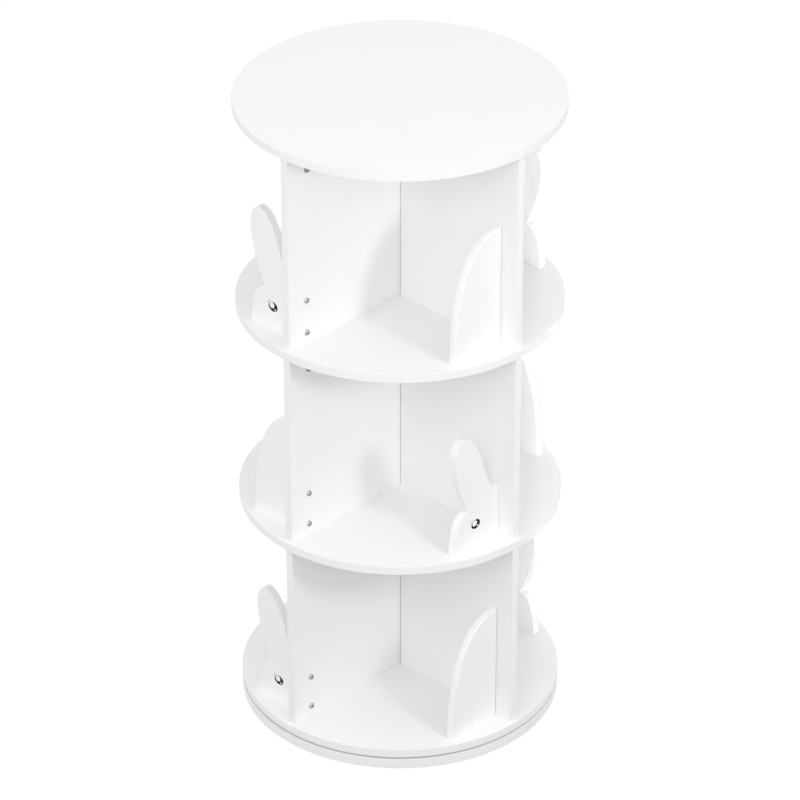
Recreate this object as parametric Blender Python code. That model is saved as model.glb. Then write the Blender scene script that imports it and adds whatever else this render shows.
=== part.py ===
"""Revolving bookcase: three tiers of book compartments that turn on a fixed round base.

Metres, +Z up. The origin is the middle of the base where it meets the floor, and +Z is the turning axis.
The three walls that run right across the case lie along X, and the half walls along Y.
"""

import math

import bmesh
import bpy
from mathutils import Matrix, Vector

# Round boards
DISC_RADIUS = 0.230
DISC_THICKNESS = 0.012
BASE_THICKNESS = 0.015
TURN_GAP = 0.004

# Tiers, from one disc's top face to the next disc's underside
TIER_HEIGHT = 0.297
TIERS = ("lower", "middle", "upper")

# Upright walls
WALL_THICKNESS = 0.012
WALL_INSET = 0.005
CROSS_GAP = 0.0008

# Clearance between pieces that touch on the real bookcase
SEAT_GAP = 0.0003

# Book stops
STOP_THICKNESS = 0.012
STOP_SETBACK = 0.0285
PLAIN_LENGTH = 0.0912
PLAIN_HEIGHT = 0.180
PLAIN_CURVE_POWER = 2.37
PLAIN_CURVE_STEPS = 18
RABBIT_LENGTH = 0.0893
RABBIT_HEIGHT = 0.182
SHOULDER_HEIGHT = 0.078
CHEEK_LENGTH = 0.024
CHEEK_HEIGHT = 0.0597
CHEEK_CURVE_POWER = 2.2
CHEEK_STEPS = 10
EAR_STEPS = 3
# Where the ear rises from the cheek, in degrees up the cheek's curve
NOTCH_ANGLE = 100.0
# The ear's outline up its wall side, over the tip and down, as shares of the stop's length and height
EAR_OUTLINE_SHARES = (
    (0.12, 0.435),
    (0.228, 0.52),
    (0.326, 0.635),
    (0.414, 0.765),
    (0.512, 0.873),
    (0.64, 0.960),
    (0.806, 1.0),
    (0.934, 0.960),
    (0.992, 0.850),
    (0.968, 0.715),
    (0.89, 0.575),
    (0.80, 0.46),
)

# Screws through a wall into its book stop
SCREW_HEIGHTS = {"low": 0.0165, "high": 0.0665}
SCREW_SHANK_RADIUS = 0.00175
SCREW_HEAD_RADIUS = 0.00425
SCREW_HEAD_HEIGHT = 0.0024
SCREW_HEAD_SLOPE = 0.0014
SCREW_BITE = 0.022
SCREW_TIP = 0.003
SCREW_PLAY = 0.0003
SCREW_SIDES = 10

# Blind holes for the cam locks that draw each wall up to the disc above it
CAM_RADIUS = 0.0075
CAM_DEPTH = 0.0095
CAM_DROP = 0.028
CAM_INSET = 0.040
CAM_SIDES = 16

# Turntable: two pressed plates with a ring of balls between them
RACE_RADIUS = 0.120
PLATE_HALF_WIDTH = 0.020
PLATE_THICKNESS = 0.004
PLATE_SPACE = 0.001
BALL_RADIUS = 0.0025
BALL_COUNT = 24
BALL_PLAY = 0.00045
BALL_SEGMENTS = 8
BALL_RINGS = 4
CAGE_HALF_WIDTH = 0.005
CAGE_THICKNESS = 0.0005
LIP_REACH = 0.004
LIP_THICKNESS = 0.0012
LIP_PLAY = 0.0006
SKIRT_THICKNESS = 0.003
POCKET_MARGIN = 0.0015
RACE_STEPS = 4
RING_SIDES = 72

# Foot pads
FOOT_COUNT = 6
FOOT_RADIUS = 0.012
FOOT_THICKNESS = 0.002
FOOT_INSET = 0.025
FOOT_SIDES = 16

DISC_SIDES = 72
# Edges between faces that meet at less than this many degrees are shaded smooth
SMOOTH_ANGLE = 30.0

# Heights, worked out from the sizes above
BASE_BOTTOM = FOOT_THICKNESS + SEAT_GAP
BASE_TOP = BASE_BOTTOM + BASE_THICKNESS
FIRST_DISC_BOTTOM = BASE_TOP + TURN_GAP
TIER_PITCH = TIER_HEIGHT + DISC_THICKNESS
TURN_MIDDLE = BASE_TOP + TURN_GAP / 2
PLATE_INNER_RADIUS = RACE_RADIUS - PLATE_HALF_WIDTH
PLATE_OUTER_RADIUS = RACE_RADIUS + PLATE_HALF_WIDTH
STACK_HALF = PLATE_THICKNESS + PLATE_SPACE / 2
POCKET_DEPTH = STACK_HALF - TURN_GAP / 2 + SEAT_GAP
POCKET_RADIUS = PLATE_OUTER_RADIUS + LIP_PLAY + SKIRT_THICKNESS + POCKET_MARGIN

# Distances out from the turning axis. The fixed base is as wide as the discs above it.
BASE_RADIUS = DISC_RADIUS
WALL_END = DISC_RADIUS - WALL_INSET
STOP_OUTER_FACE = WALL_END - STOP_SETBACK
STOP_MIDDLE = STOP_OUTER_FACE - STOP_THICKNESS / 2
CAM_MIDDLE = WALL_END - CAM_INSET
WALL_HALF = WALL_THICKNESS / 2
WALL_HEIGHT = TIER_HEIGHT - 2 * SEAT_GAP
STOP_BACK = WALL_HALF + SEAT_GAP

# The four walls of a tier, and the turn about +Z that brings a piece made along +X to each of them
WALL_TURNS = {"right": 0.0, "back": 90.0, "left": 180.0, "front": 270.0}
# Walls that carry rabbit stops in each tier; the other walls carry plain ones
RABBIT_WALLS = {"lower": ("right", "left"), "middle": ("back", "front"), "upper": ("right", "left")}


def clear_scene():
    for obj in list(bpy.data.objects):
        bpy.data.objects.remove(obj, do_unlink=True)


def make_material(name, color, roughness, metallic=0.0):
    material = bpy.data.materials.new(name)
    material.use_nodes = True
    shader = material.node_tree.nodes["Principled BSDF"]
    shader.inputs["Base Color"].default_value = (*color, 1.0)
    shader.inputs["Roughness"].default_value = roughness
    shader.inputs["Metallic"].default_value = metallic
    return material


def add_axis(name):
    """An empty on the turning axis, which carries the pieces of one body."""
    axis = bpy.data.objects.new(name, None)
    axis.empty_display_size = DISC_RADIUS
    bpy.context.scene.collection.objects.link(axis)
    return axis


def add_piece(name, mesh, material, axis, height=0.0, turn=0.0):
    """An object at a height on the turning axis, turned about it by an angle in degrees."""
    obj = bpy.data.objects.new(name, mesh)
    bpy.context.scene.collection.objects.link(obj)
    if not mesh.materials:
        mesh.materials.append(material)
    obj.parent = axis
    obj.location = (0.0, 0.0, height)
    obj.rotation_euler = (0.0, 0.0, math.radians(turn))
    return obj


def finish_mesh(bm, name, smooth=False):
    bmesh.ops.recalc_face_normals(bm, faces=bm.faces[:])
    mesh = bpy.data.meshes.new(name)
    bm.to_mesh(mesh)
    bm.free()
    if smooth:
        mesh.shade_smooth()
        mesh.set_sharp_from_angle(angle=math.radians(SMOOTH_ANGLE))
    return mesh


def turned_mesh(name, profile, sides, ring=False):
    """Spins a profile of (radius, height) points round +Z. A ring's profile closes on itself."""
    bm = bmesh.new()
    points = [bm.verts.new((radius, 0.0, height)) for radius, height in profile]
    edges = [bm.edges.new(pair) for pair in zip(points, points[1:])]
    if ring:
        edges.append(bm.edges.new((points[-1], points[0])))
    bmesh.ops.spin(
        bm,
        geom=points + edges,
        cent=(0.0, 0.0, 0.0),
        axis=(0.0, 0.0, 1.0),
        angle=math.tau,
        steps=sides,
        use_merge=True,
    )
    bmesh.ops.remove_doubles(bm, verts=bm.verts[:], dist=1e-6)
    return finish_mesh(bm, name, smooth=True)


def slab_mesh(name, outline, start, thickness):
    """Extrudes an outline of (y, z) points along +X, from start over the given thickness."""
    bm = bmesh.new()
    face = bm.faces.new([bm.verts.new((start, y, z)) for y, z in outline])
    grown = bmesh.ops.extrude_face_region(bm, geom=[face])
    moved = [part for part in grown["geom"] if isinstance(part, bmesh.types.BMVert)]
    bmesh.ops.translate(bm, verts=moved, vec=(thickness, 0.0, 0.0))
    return finish_mesh(bm, name)


def rods_mesh(name, rods, sides):
    """Round rods along Y, each given as (radius, x, z, lowest y, highest y)."""
    bm = bmesh.new()
    for radius, x, z, low, high in rods:
        place = Matrix.Translation((x, (low + high) / 2, z)) @ Matrix.Rotation(math.pi / 2, 4, "X")
        bmesh.ops.create_cone(
            bm,
            cap_ends=True,
            segments=sides,
            radius1=radius,
            radius2=radius,
            depth=high - low,
            matrix=place,
        )
    return finish_mesh(bm, name)


def combined(mesh, tool, operation):
    """The mesh after a Boolean with another mesh, as a new mesh."""
    body = bpy.data.objects.new("body", mesh)
    cutter = bpy.data.objects.new("cutter", tool)
    for obj in (body, cutter):
        bpy.context.scene.collection.objects.link(obj)
    cutter.hide_render = True
    cutter.display_type = "WIRE"
    modifier = body.modifiers.new("combine", "BOOLEAN")
    modifier.operation = operation
    modifier.solver = "EXACT"
    modifier.object = cutter
    evaluated = body.evaluated_get(bpy.context.evaluated_depsgraph_get())
    result = bpy.data.meshes.new_from_object(evaluated)
    result.name = mesh.name
    for obj in (body, cutter):
        bpy.data.objects.remove(obj, do_unlink=True)
    return result


def plain_disc_mesh():
    profile = [(0.0, DISC_THICKNESS), (DISC_RADIUS, DISC_THICKNESS), (DISC_RADIUS, 0.0), (0.0, 0.0)]
    return turned_mesh("plain_disc", profile, DISC_SIDES)


def pocketed_disc_mesh(name, radius, thickness):
    """A round board with the turntable's pocket in its underside."""
    profile = [
        (0.0, thickness),
        (radius, thickness),
        (radius, 0.0),
        (POCKET_RADIUS, 0.0),
        (POCKET_RADIUS, POCKET_DEPTH),
        (0.0, POCKET_DEPTH),
    ]
    return turned_mesh(name, profile, DISC_SIDES)


def flipped(mesh, thickness):
    """Turns a round board over, so that its pocket faces up."""
    mesh.transform(Matrix.Translation((0.0, 0.0, thickness)) @ Matrix.Rotation(math.pi, 4, "X"))
    return mesh


def wall_mesh(name, inner, outer, ends):
    """A wall from inner to outer along X, with the holes for the stop and cam lock at each named end."""
    bm = bmesh.new()
    size = Vector((outer - inner, WALL_THICKNESS, WALL_HEIGHT))
    middle = Vector(((outer + inner) / 2, 0.0, WALL_HEIGHT / 2))
    bmesh.ops.create_cube(bm, size=1.0, matrix=Matrix.LocRotScale(middle, None, size))
    mesh = finish_mesh(bm, name)
    hole_radius = SCREW_SHANK_RADIUS + SCREW_PLAY
    screw_holes = []
    cam_holes = []
    for end in ends:
        for height in SCREW_HEIGHTS.values():
            hole_height = height - SEAT_GAP
            screw_holes.append((hole_radius, end * STOP_MIDDLE, hole_height, -WALL_THICKNESS, WALL_THICKNESS))
        floor, mouth = sorted((end * (WALL_HALF - CAM_DEPTH), end * WALL_THICKNESS))
        cam_holes.append((CAM_RADIUS, end * CAM_MIDDLE, WALL_HEIGHT - CAM_DROP, floor, mouth))
    mesh = combined(mesh, rods_mesh("screw_holes", screw_holes, SCREW_SIDES), "DIFFERENCE")
    return combined(mesh, rods_mesh("cam_holes", cam_holes, CAM_SIDES), "DIFFERENCE")


def smooth_curve(points, steps):
    """Points on a smooth curve through the given ones, with an even number of steps in each span."""
    padded = [points[0], *points, points[-1]]
    curve = []
    for before, start, end, after in zip(padded, padded[1:], padded[2:], padded[3:]):
        for step in range(steps):
            t = step / steps
            curve.append(
                tuple(
                    0.5 * (2 * b + (c - a) * t + (2 * a - 5 * b + 4 * c - d) * t**2 + (3 * b - a - 3 * c + d) * t**3)
                    for a, b, c, d in zip(before, start, end, after)
                )
            )
    curve.append(points[-1])
    return curve


def plain_outline():
    """A straight back on the wall and a front that curves over to the top, as (distance out, height)."""
    outline = [(0.0, 0.0)]
    for step in range(PLAIN_CURVE_STEPS + 1):
        angle = math.radians(90) * step / PLAIN_CURVE_STEPS
        out = PLAIN_LENGTH * abs(math.cos(angle)) ** (2 / PLAIN_CURVE_POWER)
        up = PLAIN_HEIGHT * abs(math.sin(angle)) ** (2 / PLAIN_CURVE_POWER)
        outline.append((out, up))
    return outline


def rabbit_outline():
    """The cheek, the ear and the shoulder of a rabbit stop, as (distance out, height)."""
    cheek_middle = RABBIT_LENGTH - CHEEK_LENGTH
    outline = [(0.0, 0.0)]
    for step in range(CHEEK_STEPS + 1):
        angle = math.radians(NOTCH_ANGLE) * step / CHEEK_STEPS
        across = abs(math.cos(angle)) ** (2 / CHEEK_CURVE_POWER)
        up = CHEEK_HEIGHT * math.sin(angle) ** (2 / CHEEK_CURVE_POWER)
        outline.append((cheek_middle + math.copysign(CHEEK_LENGTH * across, math.cos(angle)), up))
    notch = outline.pop()
    ear = [(out * RABBIT_LENGTH, up * RABBIT_HEIGHT) for out, up in EAR_OUTLINE_SHARES]
    ear[0] = (ear[0][0], SHOULDER_HEIGHT)
    outline += reversed(smooth_curve([*ear, notch], EAR_STEPS))
    outline.append((0.0, SHOULDER_HEIGHT))
    return outline


def stop_mesh(name, outline):
    """A book stop on the clockwise side of a wall that runs along +X, with blind holes for its screws."""
    placed = [(-STOP_BACK - out, SEAT_GAP + up) for out, up in outline]
    mesh = slab_mesh(name, placed, STOP_OUTER_FACE - STOP_THICKNESS, STOP_THICKNESS)
    hole_radius = SCREW_SHANK_RADIUS + SCREW_PLAY
    hole_end = -STOP_BACK - SCREW_BITE - SCREW_PLAY
    holes = [(hole_radius, STOP_MIDDLE, height, hole_end, 0.0) for height in SCREW_HEIGHTS.values()]
    return combined(mesh, rods_mesh("stop_holes", holes, SCREW_SIDES), "DIFFERENCE")


def screw_mesh():
    """A pan head screw along -Y, with the underside of its head at y = 0."""
    length = WALL_THICKNESS + SEAT_GAP + SCREW_BITE
    profile = [
        (0.0, SCREW_HEAD_HEIGHT),
        (SCREW_HEAD_RADIUS - SCREW_HEAD_SLOPE, SCREW_HEAD_HEIGHT),
        (SCREW_HEAD_RADIUS, SCREW_HEAD_HEIGHT - SCREW_HEAD_SLOPE),
        (SCREW_HEAD_RADIUS, 0.0),
        (SCREW_SHANK_RADIUS, 0.0),
        (SCREW_SHANK_RADIUS, SCREW_TIP - length),
        (0.0, -length),
    ]
    mesh = turned_mesh("stop_screw", profile, SCREW_SIDES)
    mesh.transform(Matrix.Rotation(math.radians(-90), 4, "X"))
    mesh.transform(Matrix.Translation((STOP_MIDDLE, WALL_HALF + SEAT_GAP, 0.0)))
    return mesh


def race_arc(centre_height, opening):
    """The groove that the balls run in, from its outer edge to its inner one; opening is 1 up and -1 down."""
    radius = BALL_RADIUS + BALL_PLAY
    edge = math.asin((PLATE_SPACE / 2) / radius)
    arc = []
    for step in range(RACE_STEPS + 1):
        angle = edge + (math.pi - 2 * edge) * step / RACE_STEPS
        height = centre_height - opening * radius * math.sin(angle)
        arc.append((RACE_RADIUS + radius * math.cos(angle), height))
    return arc


def lower_plate_mesh():
    """The turntable's fixed plate. Its rim is stepped, so that the upper plate's lip can hook under it."""
    top = -PLATE_SPACE / 2
    bottom = -STACK_HALF
    step_height = bottom + LIP_THICKNESS + 2 * LIP_PLAY
    step_radius = PLATE_OUTER_RADIUS - LIP_REACH - LIP_PLAY
    profile = [
        (PLATE_INNER_RADIUS, bottom),
        (step_radius, bottom),
        (step_radius, step_height),
        (PLATE_OUTER_RADIUS, step_height),
        (PLATE_OUTER_RADIUS, top),
        *race_arc(0.0, 1),
        (PLATE_INNER_RADIUS, top),
    ]
    return turned_mesh("lower_plate", profile, RING_SIDES, ring=True)


def upper_plate_mesh():
    """The turntable's turning plate, with a skirt round the lower plate and a lip under its rim."""
    bottom = PLATE_SPACE / 2
    lip_bottom = -STACK_HALF + LIP_PLAY
    skirt_inner = PLATE_OUTER_RADIUS + LIP_PLAY
    skirt_outer = skirt_inner + SKIRT_THICKNESS
    lip_inner = PLATE_OUTER_RADIUS - LIP_REACH
    profile = [
        (PLATE_INNER_RADIUS, STACK_HALF),
        (skirt_outer, STACK_HALF),
        (skirt_outer, lip_bottom),
        (lip_inner, lip_bottom),
        (lip_inner, lip_bottom + LIP_THICKNESS),
        (skirt_inner, lip_bottom + LIP_THICKNESS),
        (skirt_inner, bottom),
        *race_arc(0.0, -1),
        (PLATE_INNER_RADIUS, bottom),
    ]
    return turned_mesh("upper_plate", profile, RING_SIDES, ring=True)


def ball_ring_mesh():
    """The flat cage with its balls."""
    half = CAGE_THICKNESS / 2
    corners = [
        (RACE_RADIUS - CAGE_HALF_WIDTH, -half),
        (RACE_RADIUS + CAGE_HALF_WIDTH, -half),
        (RACE_RADIUS + CAGE_HALF_WIDTH, half),
        (RACE_RADIUS - CAGE_HALF_WIDTH, half),
    ]
    cage = turned_mesh("ball_ring", corners, RING_SIDES, ring=True)
    bm = bmesh.new()
    ball = {"u_segments": BALL_SEGMENTS, "v_segments": BALL_RINGS, "radius": BALL_RADIUS}
    for number in range(BALL_COUNT):
        angle = math.tau * number / BALL_COUNT
        place = Matrix.Rotation(angle, 4, "Z") @ Matrix.Translation((RACE_RADIUS, 0.0, 0.0))
        bmesh.ops.create_uvsphere(bm, **ball, matrix=place)
    return combined(cage, finish_mesh(bm, "balls"), "UNION")


def foot_mesh():
    profile = [
        (0.0, FOOT_THICKNESS),
        (FOOT_RADIUS, FOOT_THICKNESS),
        (FOOT_RADIUS, 0.0),
        (0.0, 0.0),
    ]
    mesh = turned_mesh("foot_pad", profile, FOOT_SIDES)
    mesh.transform(Matrix.Translation((BASE_RADIUS - FOOT_INSET, 0.0, 0.0)))
    return mesh


def build_base(board, steel, rubber):
    axis = add_axis("base_axis")
    base = flipped(pocketed_disc_mesh("base_board", BASE_RADIUS, BASE_THICKNESS), BASE_THICKNESS)
    add_piece("base_disc", base, board, axis, BASE_BOTTOM)
    add_piece("turntable_lower_plate", lower_plate_mesh(), steel, axis, TURN_MIDDLE)
    foot = foot_mesh()
    for number in range(FOOT_COUNT):
        add_piece(f"foot_pad_{number + 1}", foot, rubber, axis, turn=360 * number / FOOT_COUNT)


def build_ball_ring(steel):
    axis = add_axis("ball_ring_axis")
    add_piece("ball_ring", ball_ring_mesh(), steel, axis, TURN_MIDDLE)


def build_discs(board, steel, axis):
    add_piece("turntable_upper_plate", upper_plate_mesh(), steel, axis, TURN_MIDDLE)
    bottom = pocketed_disc_mesh("bottom_board", DISC_RADIUS, DISC_THICKNESS)
    add_piece("bottom_disc", bottom, board, axis, FIRST_DISC_BOTTOM)
    disc = plain_disc_mesh()
    for level, name in enumerate(("lower_shelf", "upper_shelf", "top_disc"), start=1):
        add_piece(name, disc, board, axis, FIRST_DISC_BOTTOM + level * TIER_PITCH)


def build_tiers(board, steel, axis):
    through = wall_mesh("through_wall", -WALL_END, WALL_END, ends=(1, -1))
    half = wall_mesh("half_wall", WALL_HALF + CROSS_GAP, WALL_END, ends=(1,))
    plain = stop_mesh("plain_stop", plain_outline())
    rabbit = stop_mesh("rabbit_stop", rabbit_outline())
    screw = screw_mesh()
    for level, tier in enumerate(TIERS):
        floor = FIRST_DISC_BOTTOM + DISC_THICKNESS + level * TIER_PITCH
        add_piece(f"{tier}_through_wall", through, board, axis, floor + SEAT_GAP)
        for side, turn in WALL_TURNS.items():
            if side in ("back", "front"):
                add_piece(f"{tier}_{side}_half_wall", half, board, axis, floor + SEAT_GAP, turn)
            kind, mesh = ("rabbit", rabbit) if side in RABBIT_WALLS[tier] else ("plain", plain)
            add_piece(f"{tier}_{side}_{kind}_stop", mesh, board, axis, floor, turn)
            for place, height in SCREW_HEIGHTS.items():
                add_piece(f"{tier}_{side}_{place}_screw", screw, steel, axis, floor + height, turn)


def main():
    clear_scene()
    board = make_material("white_laminate", (0.90, 0.90, 0.90), 0.42)
    steel = make_material("zinc_plated_steel", (0.62, 0.62, 0.63), 0.32, 1.0)
    rubber = make_material("grey_rubber", (0.16, 0.16, 0.17), 0.75)
    build_base(board, steel, rubber)
    build_ball_ring(steel)
    carousel = add_axis("carousel_axis")
    build_discs(board, steel, carousel)
    build_tiers(board, steel, carousel)


main()
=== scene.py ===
"""Revolving bookcase in white laminate: finished boards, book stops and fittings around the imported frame.

Metres, +Z up. A piece is made as it stands at the wall that runs out along +X, and is then turned about +Z.
"""

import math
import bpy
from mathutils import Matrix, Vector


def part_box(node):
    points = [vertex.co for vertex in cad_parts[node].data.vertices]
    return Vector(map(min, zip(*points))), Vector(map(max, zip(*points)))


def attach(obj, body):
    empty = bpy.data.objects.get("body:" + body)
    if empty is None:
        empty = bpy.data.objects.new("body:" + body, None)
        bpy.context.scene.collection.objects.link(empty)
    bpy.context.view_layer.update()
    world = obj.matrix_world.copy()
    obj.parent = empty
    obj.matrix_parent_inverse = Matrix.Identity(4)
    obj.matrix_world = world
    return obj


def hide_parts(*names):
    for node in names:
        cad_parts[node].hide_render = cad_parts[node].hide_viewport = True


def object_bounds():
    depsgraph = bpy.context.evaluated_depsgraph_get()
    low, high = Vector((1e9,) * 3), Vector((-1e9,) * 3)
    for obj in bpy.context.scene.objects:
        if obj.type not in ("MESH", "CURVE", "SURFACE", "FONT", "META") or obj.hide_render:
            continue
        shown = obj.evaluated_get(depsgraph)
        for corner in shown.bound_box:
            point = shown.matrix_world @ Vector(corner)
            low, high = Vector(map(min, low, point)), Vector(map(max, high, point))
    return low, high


bl_info = {
    "name": "Revolving bookcase",
    "version": (1, 0, 0),
    "blender": (4, 5, 0),
    "location": "3D View > Sidebar > Bookcase",
    "description": "Finishes the boards, book stops and fittings of a three-tier revolving bookcase",
    "category": "Object",
}

import bmesh
import bpy
from bpy.props import FloatProperty, FloatVectorProperty, IntProperty, PointerProperty
from mathutils import Matrix, Vector

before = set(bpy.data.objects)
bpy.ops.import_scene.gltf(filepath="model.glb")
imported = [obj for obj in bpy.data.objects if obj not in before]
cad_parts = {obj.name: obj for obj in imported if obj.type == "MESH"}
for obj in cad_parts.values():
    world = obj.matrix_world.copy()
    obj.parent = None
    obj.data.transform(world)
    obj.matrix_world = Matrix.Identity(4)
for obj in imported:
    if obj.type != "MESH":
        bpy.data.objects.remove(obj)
CAD_BOX = [[float(value) for value in corner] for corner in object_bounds()]

TIERS = ("lower", "middle", "upper")
TURNS = {"right": 0.0, "back": 90.0, "left": 180.0, "front": 270.0}
ROUND_BOARDS = ("bottom_disc", "lower_shelf", "upper_shelf", "top_disc")
FOOT_COUNT = 6

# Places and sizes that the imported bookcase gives
WALL_LOW, WALL_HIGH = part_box("upper_through_wall")
STOP_LOW, STOP_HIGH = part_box("upper_right_rabbit_stop")
PLAIN_LOW, PLAIN_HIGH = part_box("middle_right_plain_stop")
SCREW_LOW, SCREW_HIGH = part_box("upper_right_low_screw")
PLATE_LOW, PLATE_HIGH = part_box("turntable_upper_plate")
FOOT_LOW, FOOT_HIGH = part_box("foot_pad_1")
TIER_FLOORS = {tier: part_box(board)[1].z for tier, board in zip(TIERS, ROUND_BOARDS)}
# Clearance under a wall, which the finished walls and stops close up to a hairline
SEAT = WALL_LOW.z - TIER_FLOORS["upper"]
# Distance of the screws from the turning axis
SCREW_OUT = (SCREW_LOW.x + SCREW_HIGH.x) / 2


# Settings


def length(name, description, default):
    return FloatProperty(
        name=name,
        description=description,
        default=default,
        min=0.0,
        precision=5,
        unit="LENGTH",
        subtype="DISTANCE",
    )


def spot(name, description, default):
    return FloatVectorProperty(
        name=name,
        description=description,
        default=default,
        size=len(default),
        precision=5,
        unit="LENGTH",
        subtype="TRANSLATION",
    )


def rotation(name, description, degrees):
    return FloatProperty(
        name=name,
        description=description,
        default=math.radians(degrees),
        unit="ROTATION",
        subtype="ANGLE",
    )


def millimetres(name, description, default):
    return FloatProperty(name=name, description=description, default=default, min=1.0, unit="CAMERA")


def watts(name, description, default):
    return FloatProperty(name=name, description=description, default=default, min=0.0, unit="POWER")


def number(name, description, default):
    return FloatProperty(name=name, description=description, default=default, min=0.0)


def count(name, description, default):
    return IntProperty(name=name, description=description, default=default, min=3)


def color(name, description, default):
    return FloatVectorProperty(
        name=name,
        description=description,
        default=default,
        min=0.0,
        max=1.0,
        subtype="COLOR",
    )


class BoardSizes(bpy.types.PropertyGroup):
    band: length("Edge band", "Thickness of the plastic band on a board's edge", 0.001)
    rounding: length("Band rounding", "Radius on the band's two long edges", 0.0008)
    joint: length("Joint", "Hairline between a board and its band, or between boards drawn tight", 0.00005)
    chamfer: length("Board chamfer", "Fine chamfer on a laminated board's corners", 0.00015)
    butt: length("Butt chamfer", "Chamfer on a half wall's inner end, seen as a line in the corner", 0.0010)
    pocket_margin: length("Pocket margin", "Room round the turntable in the boards' pockets", 0.0015)
    pocket_clearance: length("Pocket clearance", "Room above the turntable in the boards' pockets", 0.0003)
    sides: count("Round sides", "Sides of a round board", 288)


class StopSizes(bpy.types.PropertyGroup):
    rounding: length("Edge rounding", "Radius on the edges of a book stop", 0.0025)
    plain_power: number("Curve power", "How square the plain stop's front is", 2.37)
    shoulder: length("Shoulder height", "Height of a rabbit stop beside the wall", 0.078)
    cheek_length: length("Cheek length", "How far the cheek's curve reaches", 0.024)
    cheek_height: length("Cheek height", "Height of the cheek", 0.0597)
    cheek_power: number("Cheek power", "How square the cheek is", 2.2)
    notch: rotation("Notch angle", "Where the ear rises from the cheek, up the cheek's curve", 100.0)
    steps: count("Curve steps", "Steps along a stop's long curve", 72)


class EyeSizes(bpy.types.PropertyGroup):
    out: length("Distance from wall", "Middle of the eye from the wall's face", 0.0472)
    up: length("Height", "Middle of the eye above the shelf", 0.0362)
    half_width: length("Half width", "Half the eye's width", 0.0087)
    half_height: length("Half height", "Half the eye's height", 0.0074)
    highlight: length("Highlight", "Half the width of the large bare highlight", 0.0047)
    highlight_spot: spot("Highlight place", "Large highlight from the eye's middle", (-0.0021, 0.0018))
    glint_width: length("Small highlight width", "Half the width of the small bare highlight", 0.0015)
    glint_height: length("Small highlight height", "Half the height of the small bare highlight", 0.0014)
    glint_spot: spot("Small highlight place", "Small highlight from the eye's middle", (0.0040, -0.0036))
    lash_gap: length("Lash distance", "Middle of a lash from the eye's edge", 0.0026)
    lash_length: length("Lash length", "Half the length of a lash", 0.0017)
    lash_width: length("Lash width", "Half the width of a lash", 0.00028)
    thickness: length("Print thickness", "How far the ink stands proud of the board", 0.00005)


class FittingSizes(bpy.types.PropertyGroup):
    head: length("Screw head radius", "Radius of a screw's head", 0.00425)
    head_height: length("Screw head height", "Height of a screw's head", 0.0024)
    tip: length("Screw tip", "Length of a screw's point", 0.003)
    recess: length("Cross recess", "Half the span of the cross in a screw's head", 0.0028)
    recess_width: length("Cross width", "Half the width of an arm of that cross", 0.0009)
    recess_depth: length("Cross depth", "Depth of the cross in a screw's head", 0.0019)
    screw_hole: length("Screw hole radius", "Radius of the hole for a screw", 0.002125)
    play: length("Hole play", "Room past the end of a screw or a cam lock in its blind hole", 0.0003)
    cam_pocket: length("Cam pocket radius", "Radius of the blind hole for a cam lock", 0.0080)
    cam_depth: length("Cam pocket depth", "Depth of the blind hole for a cam lock", 0.0095)
    cam_inset: length("Cam inset", "Middle of a cam lock from the wall's outer edge", 0.040)
    cam_drop: length("Cam drop", "Middle of a cam lock below the wall's top", 0.027)
    cam_radius: length("Cam radius", "Radius of a cam lock", 0.0064)
    cam_sunk: length("Cam sunk", "How far a cam lock's face lies below the wall's face", 0.0006)
    cam_groove: length("Cam groove", "Depth of the round groove in a cam lock's face", 0.0004)
    cam_recess: length("Cam cross recess", "Half the span of the cross in a cam lock", 0.0034)
    cam_recess_width: length("Cam cross width", "Half the width of an arm of that cross", 0.00075)
    cam_recess_depth: length("Cam cross depth", "Depth of the cross in a cam lock", 0.0026)
    cam_arrow: length("Cam arrow", "Size of the arrow in a cam lock's face, which goes half as deep", 0.0006)
    pad_rounding: length("Foot pad rounding", "Radius on a foot pad's lower edge", 0.0005)
    sides: count("Fitting sides", "Sides of a screw, a hole and a foot pad", 42)
    cam_sides: count("Cam sides", "Sides of a cam lock", 50)


class Finishes(bpy.types.PropertyGroup):
    laminate: color("Laminate", "Colour of the white laminate", (0.95, 0.95, 0.95))
    band: color("Edge band", "Colour of the edge band", (0.93, 0.93, 0.93))
    zinc: color("Zinc", "Colour of the zinc-plated steel", (0.48, 0.48, 0.49))
    rubber: color("Rubber", "Colour of the foot pads", (0.16, 0.16, 0.17))
    ink: color("Ink", "Colour of the printed eyes", (0.006, 0.006, 0.007))
    floor: color("Floor", "Colour of the studio floor", (0.45, 0.45, 0.45))


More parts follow.
